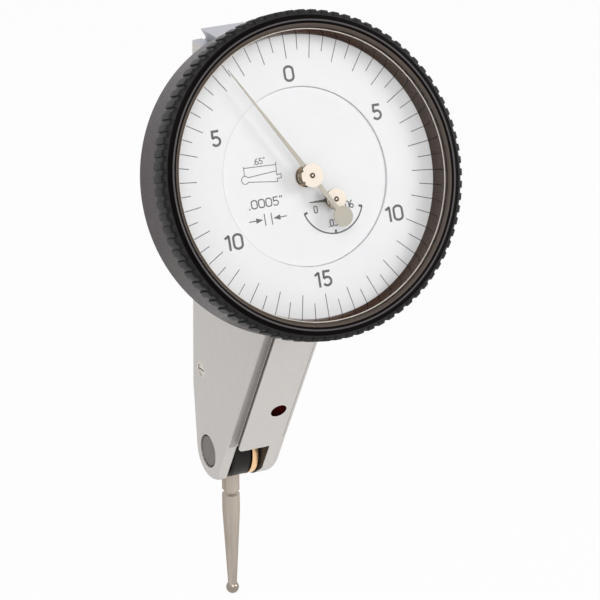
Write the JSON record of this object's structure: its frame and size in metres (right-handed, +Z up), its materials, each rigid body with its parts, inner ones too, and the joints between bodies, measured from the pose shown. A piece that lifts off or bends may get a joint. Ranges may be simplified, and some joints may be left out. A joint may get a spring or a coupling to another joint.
{
  "type": "dial test indicator",
  "caption": "Lever dial test indicator with a tilted white dial, knurled dark bezel, dovetailed metal body and a swivelling ball contact point.",
  "frame": {"origin": "on the flat of the end dovetail on top of the body, in the middle of its width", "axes": "+X to the right seen from the dial, +Y to the back, +Z up along the contact point's rest direction, away from the ball"},
  "size_m": [0.04, 0.0352, 0.0834],
  "materials": {
    "satin_body": "satin",
    "dark_bezel": "semi gloss dark grey",
    "crystal": "clear polished",
    "gasket": "matt",
    "dial_white": "matt white",
    "plain_aluminium": "turned",
    "brass": "polished",
    "steel": "bright",
    "screw_dark": "grey brown satin",
    "seal_red": "gloss",
    "ruby": "polished",
    "black_oxide": "satin black",
    "point_steel": "polished",
    "ball_carbide": "polished",
    "hand_dark": "satin",
    "hub_cream": "satin"
  },
  "bodies": {
    "frame": {"body_frame": "satin_body", "case_cup": "plain_aluminium", "case_screws": "steel", "wheel_carriage": "plain_aluminium", "carriage_screws": "steel", "movement_bridge": "brass", "bridge_pillars": "brass", "bridge_screws": "steel", "jewel_bearings": "ruby", "hairspring_stud": "brass", "bezel_spring": "steel", "inner_dial": "dial_white", "pivot_screws": "screw_dark", "side_set_screw": "screw_dark", "adjusting_screw": "steel", "seal_plug": "seal_red"},
    "bezel": {"bezel_ring": "dark_bezel", "crystal": "crystal", "crystal_gasket": "gasket", "dial_ring": "dial_white", "dial_retainer": "brass"},
    "lever": {"sector_lever": "brass", "lever_shaft": "steel", "friction_washer": "steel", "sleeve_nut": "brass"},
    "stylus": {"stylus_holder": "black_oxide", "contact_point": "point_steel", "contact_ball": "ball_carbide"},
    "crown": {"crown_wheel": "brass", "crown_arbor": "steel"},
    "pointer": {"centre_pinion": "steel", "hand_collar": "brass", "main_hub": "hub_cream", "main_hand": "hand_dark"},
    "counter": {"counter_arbor": "steel", "counter_wheel": "brass", "hairspring_collet": "brass", "hairspring": "steel", "small_hub": "hub_cream", "small_hand": "hand_dark"}
  },
  "joints": [
    {"name": "bezel_turn", "type": "hinge", "parent": "frame", "child": "bezel", "pos_m": [0, -0.017, -0.0131], "axis": [0, -0.9397, 0.342], "continuous": true},
    {"name": "lever_swing", "type": "hinge", "parent": "frame", "child": "lever", "pos_m": [0, 0.0035, -0.056], "axis": [1, 0, 0], "range_deg": [0, 4.4], "stiffness_Nm_per_rad": 0.02, "springref_deg": -8.59},
    {"name": "stylus_set", "type": "hinge", "parent": "lever", "child": "stylus", "pos_m": [0, 0.0035, -0.056], "axis": [1, 0, 0], "range_deg": [-90, 86]},
    {"name": "crown_turn", "type": "hinge", "parent": "frame", "child": "crown", "pos_m": [0, -0.00629, -0.017], "axis": [1, 0, 0], "range_deg": [-116.2, 0]},
    {"name": "pointer_turn", "type": "hinge", "parent": "frame", "child": "pointer", "pos_m": [0, -0.017, -0.0131], "axis": [0, -0.9397, 0.342], "range_deg": [-726.5, 0]},
    {"name": "counter_turn", "type": "hinge", "parent": "frame", "child": "counter", "pos_m": [0.003, -0.01813, -0.0162], "axis": [0, -0.9397, 0.342], "range_deg": [0, 145.4], "deforming": ["hairspring"]}
  ],
  "couplings": [
    {"joint": "crown_turn", "follows": "lever_swing", "ratio": -26.4},
    {"joint": "pointer_turn", "follows": "lever_swing", "ratio": -165},
    {"joint": "counter_turn", "follows": "lever_swing", "ratio": 33}
  ]
}
